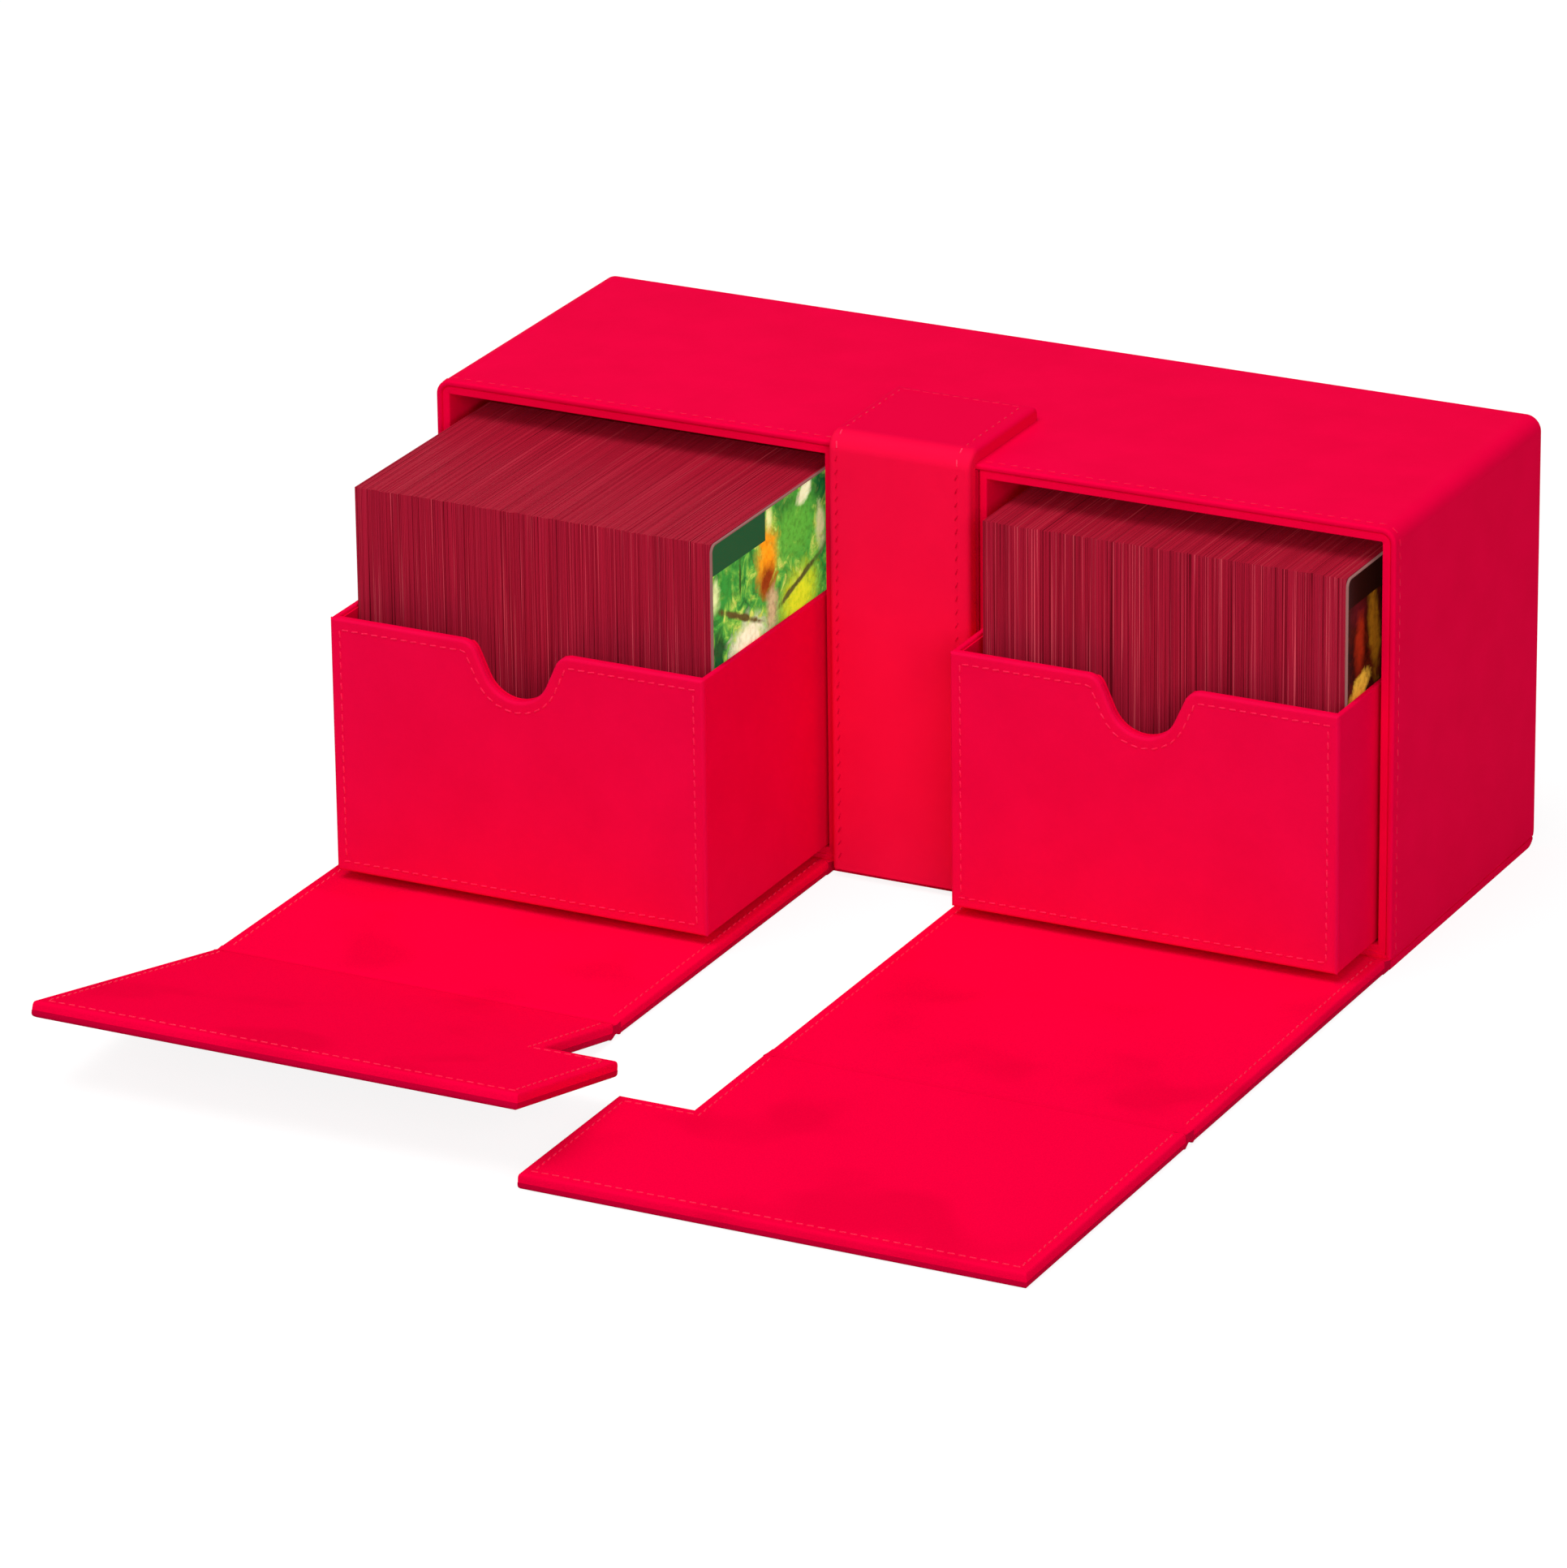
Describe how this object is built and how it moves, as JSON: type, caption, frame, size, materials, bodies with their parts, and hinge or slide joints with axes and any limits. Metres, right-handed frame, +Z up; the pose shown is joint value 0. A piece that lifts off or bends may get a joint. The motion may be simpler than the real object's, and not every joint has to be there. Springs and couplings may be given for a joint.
{
  "type": "playing card box with drawers",
  "caption": "Twin-bay card box with slide-out trays, fold-down fronts with L-shaped lids and a centre band; stores sleeved playing cards.",
  "frame": {"origin": "centre of the underside of the case's base panel", "axes": "+X to the right, +Y towards the case's back, +Z up; the trays pull out and the fronts fold down along -Y"},
  "size_m": [0.248, 0.2815, 0.1114],
  "materials": {
    "skin": "matte",
    "sleeve": "matte",
    "lining": "matte",
    "board": "matte",
    "card_sleeves": "satin",
    "face_card_left": "gloss",
    "face_card_right": "gloss",
    "magnet": "satin"
  },
  "bodies": {
    "case": {"base_panel": "skin", "case_shell": "board", "case_cover": "skin", "back_board": "board", "sleeve_left": "sleeve", "sleeve_right": "sleeve", "centre_pillar": "sleeve", "band_core": "board", "band_cover": "skin", "case_magnets": "magnet", "foot_hinge_left": "skin", "foot_hinge_right": "skin"},
    "front_left": {"front_cover_left": "skin", "front_board_left": "board", "front_lining_left": "lining", "fold_hinge_left": "skin"},
    "lid_left": {"lid_cover_left": "skin", "lid_board_left": "board", "lid_lining_left": "lining", "lid_magnets_left": "magnet"},
    "tray_left": {"tray_shell_left": "board", "tray_wrap_left": "skin", "tray_facing_left": "skin", "tray_lining_left": "lining", "card_deck_left": "card_sleeves", "face_card_left": "face_card_left"},
    "front_right": {"front_cover_right": "skin", "front_board_right": "board", "front_lining_right": "lining", "fold_hinge_right": "skin"},
    "lid_right": {"lid_cover_right": "skin", "lid_board_right": "board", "lid_lining_right": "lining", "lid_magnets_right": "magnet"},
    "tray_right": {"tray_shell_right": "board", "tray_wrap_right": "skin", "tray_facing_right": "skin", "tray_lining_right": "lining", "card_deck_right": "card_sleeves", "face_card_right": "face_card_right"}
  },
  "joints": [
    {"name": "left_tray_slide", "type": "slide", "parent": "case", "child": "tray_left", "axis": [0, -1, 0], "range_m": [-0.0625, 0.0195]},
    {"name": "right_tray_slide", "type": "slide", "parent": "case", "child": "tray_right", "axis": [0, -1, 0], "range_m": [-0.0215, 0.0605]},
    {"name": "left_front_hinge", "type": "hinge", "parent": "case", "child": "front_left", "pos_m": [-0.0716, -0.0458, 0.0006], "axis": [-1, 0, 0], "range_deg": [-90, 1.5], "deforming": ["foot_hinge_left"]},
    {"name": "right_front_hinge", "type": "hinge", "parent": "case", "child": "front_right", "pos_m": [0.0716, -0.0458, 0.0006], "axis": [-1, 0, 0], "range_deg": [-90, 1.5], "deforming": ["foot_hinge_right"]},
    {"name": "left_lid_hinge", "type": "hinge", "parent": "front_left", "child": "lid_left", "pos_m": [-0.0716, -0.156, 0.0006], "axis": [-1, 0, 0], "range_deg": [-57.5, 77.5], "deforming": ["fold_hinge_left"]},
    {"name": "right_lid_hinge", "type": "hinge", "parent": "front_right", "child": "lid_right", "pos_m": [0.0716, -0.156, 0.0006], "axis": [-1, 0, 0], "range_deg": [-45, 90], "deforming": ["fold_hinge_right"]}
  ]
}
